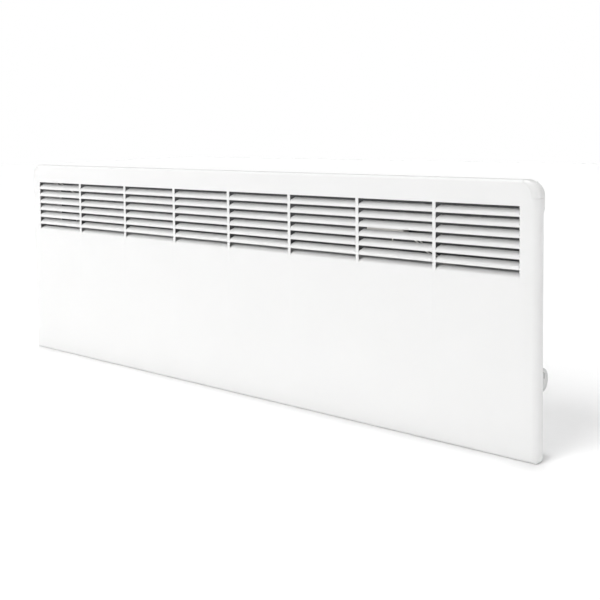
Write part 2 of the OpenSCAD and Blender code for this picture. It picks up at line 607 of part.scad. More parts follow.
// Wall bracket. An upright is a hat section with a front web and two wall flanges
module upright(s) translate([s * upright_x, 0, 0]) difference() {
    union() {
        along_z(upright_z0, upright_z1) {
            translate([-web_half_w, web_y]) square([2 * web_half_w, bracket_t]);
            for (m = [0, 1]) mirror([m, 0]) translate([web_half_w - bracket_t, 0]) {
                translate([0, web_y]) square([bracket_t, wall_depth - web_y]);
                translate([0, wall_depth - bracket_t]) square([wall_flange_w + bracket_t, bracket_t]);
            }
        }
        box([-tongue_half_w, web_y, upright_z1 - 1], [tongue_half_w, web_y + bracket_t, tongue_z1]);
        box([-hook_w / 2, hook_y0, hook_z - hook_t], [hook_w / 2, web_y + 0.5, hook_z]);
        box([-hook_w / 2, hook_y0, hook_z - 1], [hook_w / 2, hook_y0 + 2, hook_z + 8]);
    }
    for (z = [-1, 1]) rod_y(wall_depth - 3, wall_depth + 1, s * wall_hole_dx, screw_z + z * screw_spacing_z / 2, screw_hole_d / 2);
    for (z = rail_z, d = [-rivet_dz, rivet_dz]) rod_y(wall_depth - 3, wall_depth + 1, -s * wall_hole_dx, z + d, rivet_r);
    rod_y(web_y - 1, web_y + 3, 0, latch_z, latch_neck_r + running_gap);
}
module bracket_upright_left() place() color("silver") upright(-1);
module bracket_upright_right() place() color("silver") upright(1);

rail_y = wall_depth - 2 * bracket_t;
rail_x = upright_x - web_half_w - 0.5;
module rail(z) difference() {
    along_x(-rail_x, rail_x) translate([rail_y - rail_fold, z]) difference() {
        translate([0, -rail_half_h]) square([rail_fold + bracket_t, 2 * rail_half_h]);
        translate([-1, -rail_half_h + bracket_t]) square([rail_fold + 1, 2 * (rail_half_h - bracket_t)]);
    }
    for (s = [-1, 1], d = [-rivet_dz, rivet_dz]) rod_y(rail_y - 1, rail_y + 3, s * (upright_x - wall_hole_dx), z + d, rivet_r);
}
module bracket_rail_upper() place() color("silver") rail(rail_z[1]);
module bracket_rail_lower() place() color("silver") rail(rail_z[0]);
module bracket_rivets() place() color("lightgray") for (s = [-1, 1], z = rail_z, d = [-rivet_dz, rivet_dz]) {
    rod_y(rail_y - 0.5, wall_depth, s * (upright_x - wall_hole_dx), z + d, rivet_r);
    rod_y(rail_y - 1.4, rail_y, s * (upright_x - wall_hole_dx), z + d, rivet_head_r);
}
module bracket_pads() place() color("black") for (s = [-1, 1], z = pad_z0)
    box([s * upright_x - pad_half_w, body_depth + running_gap, z], [s * upright_x + pad_half_w, web_y, z + pad_h]);

// Turning catch: a lever behind the web, whose neck carries a cam inside the tray
cam_y = tray_inner_y - 3.4;
lever_y = web_y + bracket_t + 0.1;
module latch_lever(s) translate([s * upright_x, 0, latch_z]) {
    rod_y(cam_y + cam_t, lever_y + 0.2, 0, 0, latch_neck_r);
    rod_y(lever_y, lever_y + lever_t, 0, 0, lever_hub_r);
    along_y(lever_y, lever_y + lever_t) union() {
        polygon([[-7, 4], [7, 4], [lever_tip_r, lever_reach], [-lever_tip_r, lever_reach]]);
        translate([0, lever_reach]) circle(lever_tip_r);
    }
}
module latch_cam(s) translate([s * upright_x, 0, latch_z]) along_y(cam_y, cam_y + cam_t) {
    square([cam_len - cam_w, cam_w], center = true);
    for (e = [-1, 1]) translate([e * (cam_len - cam_w) / 2, 0]) circle(cam_w / 2);
}
module latch_lever_left() place() color("dimgray") latch_lever(-1);
module latch_lever_right() place() color("dimgray") latch_lever(1);
module latch_cam_left() place() color("gray") latch_cam(-1);
module latch_cam_right() place() color("gray") latch_cam(1);

front_panel();
corner_cap_left();
corner_cap_right();
rear_tray();
intake_grille();
casing_screws();
inner_baffle();
heat_shield();
air_deflector();
element_fins();
element_sheath();
element_insulators();
element_bracket_left();
element_bracket_right();
overheat_limiter();
limiter_bracket();
limiter_capillary();
capillary_clips();
limiter_leads();
control_housing();
control_cover();
thermostat_body();
thermostat_shaft();
thermostat_knob();
switch_frame();
switch_rocker();
indicator_lens();
terminal_block();
terminal_screws();
supply_leads();
element_lead();
return_lead();
room_sensor();
sensor_clip();
earth_stud();
earth_lead();
cable_gland();
gland_nut();
bracket_upright_left();
bracket_upright_right();
bracket_rail_upper();
bracket_rail_lower();
bracket_rivets();
bracket_pads();
latch_lever_left();
latch_lever_right();
latch_cam_left();
latch_cam_right();
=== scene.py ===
import json
import math

import bmesh
import bpy
from mathutils import Matrix, Vector


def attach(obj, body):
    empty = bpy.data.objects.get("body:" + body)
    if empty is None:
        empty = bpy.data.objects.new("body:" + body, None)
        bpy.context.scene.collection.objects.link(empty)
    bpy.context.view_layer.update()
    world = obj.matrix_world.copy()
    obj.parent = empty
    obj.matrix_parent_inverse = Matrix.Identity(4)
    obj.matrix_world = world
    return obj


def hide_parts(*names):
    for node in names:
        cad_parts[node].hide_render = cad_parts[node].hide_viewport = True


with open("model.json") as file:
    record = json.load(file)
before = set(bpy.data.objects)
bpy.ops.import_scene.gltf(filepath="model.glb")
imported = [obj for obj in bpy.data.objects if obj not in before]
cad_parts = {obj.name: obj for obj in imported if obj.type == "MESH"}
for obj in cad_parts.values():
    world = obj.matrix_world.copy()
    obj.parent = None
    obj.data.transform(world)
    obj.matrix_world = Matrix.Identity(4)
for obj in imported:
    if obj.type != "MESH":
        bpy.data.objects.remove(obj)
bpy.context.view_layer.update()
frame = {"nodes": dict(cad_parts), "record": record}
nodes = frame["nodes"]
scene = bpy.context.scene

# Lengths below are in heater millimetres, unless a comment says otherwise: x from the middle,
# y from the front face towards the wall, z up from the lower edge. WALL and SCREWS turn them
# into the frame's metres.
MM = 0.001
WALL, SCREWS = 85.0, 190.0
HALF_W, H = 560.5, 389.0                # half the front's width, and its height
COLUMNS, COLUMN_PITCH, SLOT = 8, 134.0, 128.5
ROWS, ROW_PITCH, WINDOW = 7, 14.6, 11.6
LOUVRE_X0 = -((COLUMNS - 1) * COLUMN_PITCH + SLOT) / 2
LOUVRE_TOP = H - 36
SIDE_ROLL, TOP_ROLL, FLANGE = 10.0, 5.0, 18.0
SHEET = 0.8
CAP_W, CAP_H, CAP_R = 22.5, 25.5, 22.0
SEAM = 0.3                              # gap between the front and a corner cap
CORNER_R = 5.0                          # the two lower corners
TRAY = 540.5                            # half the rear tray's width


def metres(point):
    x, y, z = point
    return Vector((x * MM, (y - WALL) * MM, (z - SCREWS) * MM))


# ---------------------------------------------------------------- mesh tools
class Form:
    """Points in heater millimetres and the faces between them."""

    def __init__(self):
        self.points, self.faces = [], []

    def face(self, *corners):
        start = len(self.points)
        self.points += corners
        self.faces.append(list(range(start, start + len(corners))))

    def strips(self, lines, closed=False):
        """Faces between each line of points and the next one, which has as many points."""
        for first, second in zip(lines, lines[1:]):
            count = len(first)
            for i in range(count if closed else count - 1):
                j = (i + 1) % count
                self.face(first[i], first[j], second[j], second[i])

    def skin(self, rings, cap_start=True, cap_end=True):
        """A tube through closed rings, with a face over the ends that are capped."""
        self.strips(rings, closed=True)
        if cap_start:
            self.face(*reversed(rings[0]))
        if cap_end:
            self.face(*rings[-1])

    def turned(self, profile, centre, axis, steps, radius_at=None, capped=True):
        """Profile of (distance along the axis, radius) turned about x or y. radius_at, where given,
        makes the radius depend on the angle."""
        rings = []
        for along, radius in profile:
            ring = []
            for step in range(steps):
                angle = 2 * math.pi * step / steps
                here = radius_at(along, radius, angle) if radius_at else radius
                u, v = here * math.cos(angle), here * math.sin(angle)
                offset = (along, u, v) if axis == "x" else (u, along, v)
                ring.append(tuple(c + o for c, o in zip(centre, offset)))
            rings.append(ring)
        self.skin(rings, cap_start=capped, cap_end=capped)

    def prism(self, outline, axis, low, high):
        """An outline of (y, z) pulled along x, or one of (x, z) pulled along y."""
        self.skin([[(t, u, v) if axis == "x" else (u, t, v) for u, v in outline] for t in (low, high)])


def arc(centre_u, centre_v, radius, start, end, steps, radius_v=None):
    """Points on a circle between two angles in degrees, or on an ellipse where radius_v is given."""
    radius_v = radius if radius_v is None else radius_v
    angles = [math.radians(start + (end - start) * i / steps) for i in range(steps + 1)]
    return [(centre_u + radius * math.cos(a), centre_v + radius_v * math.sin(a)) for a in angles]


def rounded(u0, v0, u1, v1, r, steps=5):
    """A rectangle with round corners."""
    centres = ((u1 - r, v1 - r), (u0 + r, v1 - r), (u0 + r, v0 + r), (u1 - r, v0 + r))
    return [p for k, (u, v) in enumerate(centres) for p in arc(u, v, r, 90 * k, 90 * k + 90, steps)]


def mesh_from(name, form):
    mesh = bpy.data.meshes.new(name)
    mesh.from_pydata([metres(p) for p in form.points], [], form.faces)
    return mesh


def placed(name, data):
    obj = bpy.data.objects.new(name, data)
    scene.collection.objects.link(obj)
    return obj


def piece(name, form, body, slot, stands_for=(), *, facing, soften=32, thickness=0, bevel=0):
    """A mesh object from a form, riding on a body. facing is the way that its largest face looks,
    and edges flatter than soften degrees are shaded smooth."""
    mesh = mesh_from(name, form)
    edit = bmesh.new()
    edit.from_mesh(mesh)
    bmesh.ops.remove_doubles(edit, verts=edit.verts, dist=2e-6)
    bmesh.ops.dissolve_degenerate(edit, edges=edit.edges, dist=1e-7)
    bmesh.ops.recalc_face_normals(edit, faces=edit.faces)
    largest = max(edit.faces, key=lambda face: face.calc_area())
    if largest.normal.dot(Vector(facing)) < 0:
        bmesh.ops.reverse_faces(edit, faces=edit.faces)
    for face in edit.faces:
        face.smooth = True
    for edge in edit.edges:
        edge.smooth = edge.calc_face_angle(0) < math.radians(soften)
    edit.to_mesh(mesh)
    edit.free()
    obj = placed(name, mesh)
    if thickness:
        sheet = obj.modifiers.new("sheet", "SOLIDIFY")
        sheet.thickness, sheet.offset = thickness * MM, -1
    if bevel:
        add_bevel(obj, bevel)
    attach(obj, body)
    if stands_for:
        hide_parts(*stands_for)
    paint(obj, slot)


def add_bevel(obj, width, limit=38):
    edges = obj.modifiers.new("edges", "BEVEL")
    edges.width, edges.segments, edges.limit_method = width * MM, 2, "ANGLE"
    edges.angle_limit = math.radians(limit)
    edges.harden_normals = True
    edges.use_clamp_overlap = True


# ---------------------------------------------------------------- materials
class Look:
    """A material, with short calls that add and join its shader nodes."""

    def __init__(self, name):
        self.material = bpy.data.materials.new(name)
        self.material.use_nodes = True
        self.tree = self.material.node_tree
        self.shader = self.tree.nodes["Principled BSDF"]
        self.place = self.tree.nodes.new("ShaderNodeTexCoord").outputs["Object"]

    def add(self, kind, **sockets):
        node = self.tree.nodes.new("ShaderNode" + kind)
        for key, value in sockets.items():
            self.put(node, key, value)
        return node

    def put(self, node, key, value):
        """Gives an input, known by its number or by its name with _ for a space, a link or a value."""
        socket = node.inputs[key.replace("_", " ") if isinstance(key, str) else key]
        if isinstance(value, bpy.types.NodeSocket):
            self.tree.links.new(value, socket)
        else:
            socket.default_value = value

    def noise(self, scale, detail=3, rough=0.5, stretch=None, distortion=0):
        place = self.add("Mapping", Vector=self.place, Scale=stretch).outputs[0] if stretch else self.place
        return self.add("TexNoise", Vector=place, Scale=scale, Detail=detail, Roughness=rough,
                        Distortion=distortion).outputs["Fac"]

    def ramp(self, value, low, high, to_low=0.0, to_high=1.0):
        node = self.add("MapRange")
        for i, v in enumerate((value, low, high, to_low, to_high)):
            self.put(node, i, v)
        return node.outputs[0]

    def mix(self, factor, first, second, blend="MIX"):
        node = self.add("Mix")
        node.data_type, node.blend_type = "RGBA", blend
        for i, v in ((0, factor), (6, first), (7, second)):
            self.put(node, i, v)
        return node.outputs[2]

    def tones(self, value, low, high, first, second):
        """The first colour where value is below low, the second one where it is above high."""
        return self.mix(self.ramp(value, low, high), first, second)

    def bump(self, height, depth, strength):
        return self.add("Bump", Height=height, Distance=depth * MM, Strength=strength).outputs["Normal"]

    def set(self, **sockets):
        for key, value in sockets.items():
            self.put(self.shader, key, value)


def rgba(color, k=1.0):
    red, green, blue = color
    return (min(1, red * k), min(1, green * k), min(1, blue * k), 1)


def coated(name, color, rough, peel, peel_scale, vary, shine=0.5):
    """Powder coat or stove enamel: soft orange peel, faint unevenness of tone."""
    look = Look(name)
    broad = look.noise(9, 2)
    fine = look.noise(peel_scale, 2, 0.4)
    look.set(Base_Color=look.tones(broad, 0.3, 0.7, rgba(color, 1 - vary), rgba(color)),
             Roughness=look.ramp(fine, 0.2, 0.8, rough - 0.05, rough + 0.05),
             Normal=look.bump(fine, peel, 0.6), Specular_IOR_Level=shine)
    return look.material


def moulded(name, color, rough, grain=0.02, grain_scale=2200, vary=0.04):
    """Moulded plastic: fine spark-eroded grain, faint flow marks."""
    look = Look(name)
    flow = look.noise(40, 3, 0.5, (1, 1, 3), 0.6)
    grit = look.noise(grain_scale, 2, 0.6)
    look.set(Base_Color=look.tones(flow, 0.3, 0.7, rgba(color, 1 - vary), rgba(color, 1 + vary)),
             Roughness=look.ramp(flow, 0.3, 0.7, rough - 0.06, rough + 0.06),
             Normal=look.bump(grit, grain, 0.7))
    return look.material


def galvanised(name, color, rough, spangle):
    """Zinc-coated steel: crystals of slightly different tone and gloss, fine rolling marks."""
    look = Look(name)
    cells = look.add("TexVoronoi")
    drift = look.add("TexNoise", Vector=look.place, Scale=25.0).outputs["Color"]
    look.put(cells, "Vector", look.mix(0.02, look.place, drift, "LINEAR_LIGHT"))
    look.put(cells, "Scale", spangle)
    tone = look.add("SeparateColor", Color=cells.outputs["Color"]).outputs[0]
    rolling = look.noise(160, 2, 0.5, (1, 12, 12))
    look.set(Base_Color=look.tones(tone, 0, 1, rgba(color, 0.86), rgba(color, 1.08)),
             Roughness=look.ramp(tone, 0, 1, rough - 0.08, rough + 0.12),
             Normal=look.bump(rolling, 0.02, 0.5), Metallic=0.85)
    return look.material


def brushed(name, color, rough, stretch=(1, 30, 30), vary=0.06):
    """Rolled or drawn metal: long fine lines and faint smudges."""
    look = Look(name)
    lines = look.noise(60, 4, 0.7, stretch)
    smudge = look.noise(14, 3)
    look.set(Base_Color=look.tones(smudge, 0.35, 0.65, rgba(color, 1 - vary), rgba(color, 1 + vary)),
             Roughness=look.ramp(lines, 0.2, 0.8, rough - 0.08, rough + 0.12),
             Normal=look.bump(lines, 0.03, 0.5), Metallic=1.0)
    return look.material


def heat_tinted(name, color, tint):
    """Heater steel, tinted in patches by its own heat."""
    look = Look(name)
    patch = look.noise(22, 4, 0.6, (0.3, 1, 1), 0.4)
    grit = look.noise(700, 3)
    look.set(Base_Color=look.tones(patch, 0.4, 0.65, rgba(color), rgba(tint)),
             Roughness=look.ramp(grit, 0.2, 0.8, 0.35, 0.6),
             Normal=look.bump(grit, 0.02, 0.5), Metallic=0.9)
    return look.material


def woven(name, color, thread=1100):
    """Glass-fibre sleeve or insulated wire: crossing threads in relief."""
    look = Look(name)
    crossing = look.add("Math")
    crossing.operation = "MAXIMUM"
    for i, direction in enumerate(((1, 1, 0.6), (1, -1, -0.6))):
        leaning = look.add("Mapping", Vector=look.place, Scale=direction).outputs[0]
        wave = look.add("TexWave", Vector=leaning, Scale=thread / 6.0, Distortion=1.5, Detail=1.0)
        look.put(crossing, i, wave.outputs["Fac"])
    weave = crossing.outputs[0]
    look.set(Base_Color=look.tones(weave, 0.3, 0.9, rgba(color, 0.75), rgba(color, 1.03)),
             Normal=look.bump(weave, 0.06, 0.7), Roughness=0.7)
    return look.material


def tinted_lens(name, color):
    """Coloured plastic that lets some light through."""
    look = Look(name)
    streak = look.noise(300, 2)
    look.set(Base_Color=look.tones(streak, 0.3, 0.7, rgba(color, 0.85), rgba(color, 1.1)),
             Roughness=look.ramp(streak, 0.3, 0.7, 0.08, 0.16), Transmission_Weight=0.35, IOR=1.5)
    return look.material


# Peel and grain are depths in millimetres. The scales count repeats in a metre.
RECIPES = {
    "white_enamel": (coated, (0.735, 0.735, 0.732),
                     {"rough": 0.5, "peel": 0.010, "peel_scale": 1000, "vary": 0.012, "shine": 0.35}),
    "white_plastic": (moulded, (0.725, 0.725, 0.72),
                      {"rough": 0.4, "grain": 0.012, "grain_scale": 2600, "vary": 0.015}),
    "tray_steel": (coated, (0.80, 0.80, 0.80),
                   {"rough": 0.45, "peel": 0.014, "peel_scale": 900, "vary": 0.03}),
    "zinc_screws": (brushed, (0.62, 0.62, 0.60), {"rough": 0.3, "stretch": (8, 8, 8), "vary": 0.1}),
    "aluminised_steel": (galvanised, (0.55, 0.56, 0.57), {"rough": 0.42, "spangle": 90}),
    # dark_steel, the deflector seen through the louvres, is near black as painted shade: it makes the slots
    # as dark as the shade inside the casing.
    "dark_steel": (coated, (0.095, 0.097, 0.10),
                   {"rough": 0.5, "peel": 0.02, "peel_scale": 800, "vary": 0.15}),
    "fin_aluminium": (brushed, (0.62, 0.62, 0.63), {"rough": 0.34}),
    "element_steel": (heat_tinted, (0.28, 0.26, 0.25), {"tint": (0.16, 0.13, 0.15)}),
    "ceramic": (coated, (0.80, 0.78, 0.74),
                {"rough": 0.5, "peel": 0.03, "peel_scale": 600, "vary": 0.08}),
    "white_sleeve": (woven, (0.80, 0.79, 0.75), {}),
    "brown_sleeve": (woven, (0.20, 0.09, 0.04), {"thread": 1500}),
    "earth_sleeve": (woven, (0.35, 0.50, 0.06), {"thread": 1500}),
    "dark_plastic": (moulded, (0.045, 0.046, 0.05),
                     {"rough": 0.5, "grain": 0.03, "grain_scale": 2000, "vary": 0.1}),
    "ivory_plastic": (moulded, (0.72, 0.68, 0.58), {"rough": 0.42}),
    "knob_plastic": (moulded, (0.58, 0.58, 0.58), {"rough": 0.42, "grain_scale": 2400}),
    "rocker_plastic": (moulded, (0.03, 0.03, 0.032),
                       {"rough": 0.32, "grain": 0.01, "grain_scale": 2600, "vary": 0.1}),
    "lens_amber": (tinted_lens, (0.9, 0.35, 0.05), {}),
    "brass_screws": (brushed, (0.72, 0.50, 0.22), {"rough": 0.28, "stretch": (10, 10, 10), "vary": 0.12}),
    "copper_bulb": (brushed, (0.72, 0.36, 0.22), {"rough": 0.3, "stretch": (1, 14, 14), "vary": 0.15}),
    "bracket_steel": (galvanised, (0.58, 0.59, 0.60), {"rough": 0.40, "spangle": 60}),
    "pad_rubber": (moulded, (0.025, 0.025, 0.026),
                   {"rough": 0.75, "grain": 0.06, "grain_scale": 900, "vary": 0.15}),
    "latch_plastic": (moulded, (0.06, 0.065, 0.07),
                      {"rough": 0.45, "grain": 0.03, "grain_scale": 1800, "vary": 0.1}),
}
MATERIALS = {name: make(name, color, **values) for name, (make, color, values) in RECIPES.items()}
SLOT_OF = {part["node"]: part["material_slot"] for part in frame["record"]["subparts"]}


def paint(obj, slot):
    obj.data.materials.clear()
    obj.data.materials.append(MATERIALS[slot])


def dress(name, bevel):
    """A CAD node with its slot's material. Where its edges are eased, its seams are welded first."""
    obj = nodes[name]
    paint(obj, SLOT_OF[name])
    if not bevel:
        return
    if obj.data.has_custom_normals:
        obj.data.attributes.remove(obj.data.attributes["custom_normal"])
    for polygon in obj.data.polygons:
        polygon.use_smooth = True
    weld = obj.modifiers.new("weld", "WELD")
    weld.merge_threshold = 3e-6
    flat_faces = obj.modifiers.new("flat", "DECIMATE")
    flat_faces.decimate_type, flat_faces.angle_limit = "DISSOLVE", math.radians(0.5)
    add_bevel(obj, bevel, 30)


# ---------------------------------------------------------------- front panel
EDGE_X = HALF_W - SIDE_ROLL             # where the flat face goes over into the side rolls
SILL = 12.0                             # a line of points a little above the lower roll
# Depths down a side roll, nine degrees apart.
ROLL_DEPTHS = [SIDE_ROLL * (1 - math.cos(math.radians(9 * k))) for k in range(11)]
LIP_R, LIP_SIDE, LIP_BASE = 1.2, 22.5, 14.5     # the rear lip's bend, and how far in it reaches
CORNER_STEPS, CAP_STEPS = 6, 12
SMALLEST_R = 1.2                        # what the lower corners' radius never falls below
FLAP_GAP = 0.5                          # between a slot's end and its flap's
FLAP_STEPS = (0.0, 0.6, 1.4, 2.5, 4.0)  # a flap's points, from each end inwards
FLAP_CORNER, FLAP_END = 4.0, 0.33       # length of a cropped corner, and what it leaves at the end
FLAP_R, FLAP_BEND = 4.0, 58.0           # the bend's radius, and its angle in degrees
FLAP_SHARES = (0, 0.1, 0.2, 0.3, 0.45, 0.6, 0.8, 1.0)


def roll_inset(depth, radius):
    """How far a rolled edge lies inside the outline at a depth."""
    return radius - math.sqrt(max(0.0, radius ** 2 - (radius - depth) ** 2)) if depth < radius else 0.0


def flap_reach(x, x0, x1):
    """Share of the flap's full length at x, less near its two ends, where its corners are cropped."""
    edge = min(x - x0, x1 - x)
    return FLAP_END + (1 - FLAP_END) * min(1.0, edge / FLAP_CORNER) ** 0.8


def flap_line(x, root, length):
    """A flap's section at x: up from its root, back along the bend and straight on."""
    line = []
    for share in FLAP_SHARES:
        bent = min(length * share, FLAP_R * math.radians(FLAP_BEND))
        angle = bent / FLAP_R
        straight = length * share - bent
        line.append((x, FLAP_R * (1 - math.cos(angle)) + straight * math.sin(angle),
                     root + FLAP_R * math.sin(angle) + straight * math.cos(angle)))
    return line


slot_starts = [LOUVRE_X0 + column * COLUMN_PITCH for column in range(COLUMNS)]
row_tops = [LOUVRE_TOP - row * ROW_PITCH for row in range(ROWS)]
x_lines = [-EDGE_X, -(HALF_W - CAP_W), HALF_W - CAP_W, EDGE_X]
for start in slot_starts:
    x_lines += [start, start + SLOT]
    x_lines += [start + FLAP_GAP + step for step in FLAP_STEPS]
    x_lines += [start + SLOT - FLAP_GAP - step for step in FLAP_STEPS]
x_lines = sorted(set(round(x, 4) for x in x_lines))
z_lines = [TOP_ROLL, SILL, H - CAP_H, H - TOP_ROLL]
for top in row_tops:
    z_lines += [top, top - WINDOW]
z_lines = sorted(set(round(z, 4) for z in z_lines))


def in_window(x, z):
    """Whether a point of the flat face is cut out for a louvre."""
    return (any(start < x < start + SLOT for start in slot_starts)
            and any(top - WINDOW < z < top for top in row_tops))


# The flat face, without its windows, and its two tongues that reach into the caps.
front = Form()
for left, right in zip(x_lines, x_lines[1:]):
    for low, high in zip(z_lines, z_lines[1:]):
        x, z = (left + right) / 2, (low + high) / 2
        if not in_window(x, z) and (abs(x) <= HALF_W - CAP_W or z <= H - CAP_H):
            front.face((left, 0, low), (right, 0, low), (right, 0, high), (left, 0, high))
for side in (-1, 1):
    tongue = [(HALF_W - CAP_W, H - CAP_H), (EDGE_X, H - CAP_H)]
    tongue += arc(HALF_W - CAP_W + SEAM, H - CAP_R, CAP_W - SIDE_ROLL - 2 * SEAM, 0, 90, CAP_STEPS,
                  CAP_R - TOP_ROLL - SEAM)
    tongue.append((HALF_W - CAP_W, H - TOP_ROLL))
    front.face(*[(side * x, 0, z) for x, z in tongue])

for start in slot_starts:
    x0, x1 = start + FLAP_GAP, start + SLOT - FLAP_GAP
    flap_xs = [x for x in x_lines if x0 - 0.01 < x < x1 + 0.01]
    for top in row_tops:
        front.strips([flap_line(x, top - WINDOW, WINDOW * flap_reach(x, x0, x1)) for x in flap_xs])

side_zs = [z for z in z_lines if TOP_ROLL < z <= H - CAP_H]
base_xs = [x for x in x_lines if abs(x) < EDGE_X]
top_xs = [x for x in x_lines if abs(x) <= HALF_W - CAP_W]


def side_ring(depth, side_in, base_in):
    """The panel's two sides and bottom at one depth, from the left cap round to the right one."""
    half = HALF_W - side_in
    r_x, r_z = max(CORNER_R - side_in, SMALLEST_R), max(CORNER_R - base_in, SMALLEST_R)
    ring = [(-half, z) for z in reversed(side_zs)]
    ring += arc(-half + r_x, base_in + r_z, r_x, 180, 270, CORNER_STEPS, r_z)
    ring += [(x, base_in) for x in base_xs]
    ring += arc(half - r_x, base_in + r_z, r_x, 270, 360, CORNER_STEPS, r_z)
    ring += [(half, z) for z in side_zs]
    return [(x, depth, z) for x, z in ring]


# (depth, side inset, top or bottom inset) down the rolls, along the flange and into the rear lip.
folds = [(depth, roll_inset(depth, SIDE_ROLL), roll_inset(depth, TOP_ROLL)) for depth in ROLL_DEPTHS[1:]]
folds.append((FLANGE - LIP_R, 0, 0))
for degrees in (30, 60, 90):
    bend = math.radians(degrees)
    folds.append((FLANGE - LIP_R + LIP_R * math.sin(bend), LIP_R * (1 - math.cos(bend)),
                  LIP_R * (1 - math.cos(bend))))
folds.append((FLANGE, LIP_SIDE, LIP_BASE))

flat_ring = [(-EDGE_X, 0, z) for z in reversed(side_zs)] + [(-EDGE_X, 0, TOP_ROLL)] * (CORNER_STEPS + 1)
flat_ring += [(x, 0, TOP_ROLL) for x in base_xs] + [(EDGE_X, 0, TOP_ROLL)] * (CORNER_STEPS + 1)
flat_ring += [(EDGE_X, 0, z) for z in side_zs]
front.strips([flat_ring] + [side_ring(*fold) for fold in folds])
top_folds = [(0, TOP_ROLL)] + [(depth, inset) for depth, _, inset in folds]
front.strips([[(x, depth, H - inset) for x in top_xs] for depth, inset in top_folds])
piece("front_sheet", front, "heater", "white_enamel", ["front_panel"], facing=(0, -1, 0),
      soften=26, thickness=SHEET, bevel=0.18)

# ---------------------------------------------------------------- corner caps
CAP_WALL = 1.8
CAP_EDGE_IN, CAP_EDGE_DEPTH = 0.5, 0.6  # the chamfer of the cap's rear edge
CAP_STRAIGHT = 1.2                      # from the end of the cap's arc down to its next point
EAR_OUTER, EAR_INNER, EAR_R = 0.5, 3.0, 21.5    # the insets of the ear's two faces, its inner radius
EAR_FRONT, EAR_REAR = FLANGE - 2, FLANGE + 5
LEG_FRONT, LEG_TOP = FLANGE + 0.35, H - CAP_H - 0.2 + 2 * SEAM
LEG_SLANT, LEG_END = H - 40.0, H - 46.0


def cap_form(side):
    """The cap's outside: a roll that follows the front's, round the corner and down to the seam."""
    seam_x, seam_z = HALF_W - CAP_W + SEAM, H - CAP_H + SEAM
    rings = []
    for depth in ROLL_DEPTHS + [FLANGE - CAP_EDGE_DEPTH, FLANGE]:
        inset = CAP_EDGE_IN if depth == FLANGE else 0.0
        half = HALF_W - max(roll_inset(depth, SIDE_ROLL), inset)
        top = H - max(roll_inset(depth, TOP_ROLL), inset)
        ring = arc(seam_x, H - CAP_R, half - seam_x, 90, 0, CAP_STEPS, top - (H - CAP_R))
        ring += [(half, H - CAP_R - CAP_STRAIGHT), (half, seam_z)]
        rings.append([(side * x, depth, z) for x, z in ring])
    form = Form()
    form.strips(rings)
    return form


def ear_form(side):
    """The cap's rear ear: it follows the cap's arc and runs down behind the flange to a slanted end."""
    outer = arc(HALF_W - EAR_OUTER - CAP_R, H - EAR_OUTER - CAP_R, CAP_R, 60, 0, 6)
    inner = arc(HALF_W - EAR_INNER - EAR_R, H - EAR_INNER - EAR_R, EAR_R, 60, 0, 6)
    outer.append((HALF_W - EAR_OUTER, H - CAP_H + SEAM))
    inner.append((HALF_W - EAR_INNER, H - CAP_H + SEAM))
    form = Form()
    form.skin([[(side * x_out, EAR_FRONT, z_out), (side * x_out, EAR_REAR, z_out),
                (side * x_in, EAR_REAR, z_in), (side * x_in, EAR_FRONT, z_in)]
               for (x_out, z_out), (x_in, z_in) in zip(outer, inner)])
    leg = [(LEG_FRONT, LEG_TOP), (EAR_REAR, LEG_TOP), (EAR_REAR, LEG_SLANT), (LEG_FRONT, LEG_END)]
    form.prism(leg, "x", *sorted((side * (HALF_W - EAR_OUTER), side * (HALF_W - EAR_INNER))))
    return form


for side, word in ((-1, "left"), (1, "right")):
    piece("cap_" + word, cap_form(side), "heater", "white_plastic", ["corner_cap_" + word],
          facing=(side, 0, 0), thickness=CAP_WALL, bevel=0.25)
    piece("cap_ear_" + word, ear_form(side), "heater", "white_plastic", facing=(side, 0, 0), bevel=0.4)

# ---------------------------------------------------------------- controls on the right-hand side
CONTROLS_Y, KNOB_Z, SWITCH_Z = 36.5, 108.0, 160.0
KNOB_X, KNOB_R, KNOB_T = TRAY + 0.7, 16.8, 13.3     # its rear end, radius and thickness
KNOB_FACE = KNOB_X + KNOB_T
FLUTES, FLUTE_DEPTH, FLUTED_FROM, FLUTED_TO = 40, 0.45, 15.5, KNOB_T - 1.1
HOLLOW = KNOB_T - 3.7
TICK_FROM, TICK_TO, LONG_TICK_TO, TICK_HALF = 18.2, 20.4, 21.2, 0.3


def fluted(along, radius, angle):
    """The knob's wall has shallow flutes from its rear end nearly up to the face."""
    if radius < FLUTED_FROM or along > FLUTED_TO:
        return radius
    return radius - FLUTE_DEPTH * (0.5 + 0.5 * math.cos(FLUTES * angle)) ** 2


def side_outline(x, z, half_y, half_z, r, steps=5):
    """A rounded rectangle across x, in line with the controls."""
    corners = (CONTROLS_Y - half_y, z - half_z, CONTROLS_Y + half_y, z + half_z)
    return [(x, y, z) for y, z in rounded(*corners, r, steps)]


# The knob's section is the shaft's bore, its boss, the hollow back, the wall and the dished face.
knob_back = [(7.9, 0.2), (7.9, 3.1), (1.2, 3.1), (1.2, 6.0), (HOLLOW, 6.3), (HOLLOW, 13.9), (0.0, 14.3),
             (0.0, 16.3), (0.4, KNOB_R)]
knob_face = [(-2.4, KNOB_R), (-1.3, 16.2), (-0.6, 15.2), (-0.4, 14.0), (-0.5, 12.9), (-1.1, 12.3),
             (-1.6, 11.6), (-1.8, 10.0), (-1.8, 4.0), (-1.8, 0.2)]
knob = Form()
knob.turned(knob_back + [(KNOB_T + back, radius) for back, radius in knob_face],
            (KNOB_X, CONTROLS_Y, KNOB_Z), "x", FLUTES * 6, fluted)
grip = Form()
grip.skin([side_outline(KNOB_FACE + lift, KNOB_Z, 3 - inset, 11.4 - inset, 2.9 - inset, 6)
           for inset, lift in ((0.0, -2.1), (0.0, -1.1), (0.25, -0.5), (0.9, -0.1))])
pointer = Form()
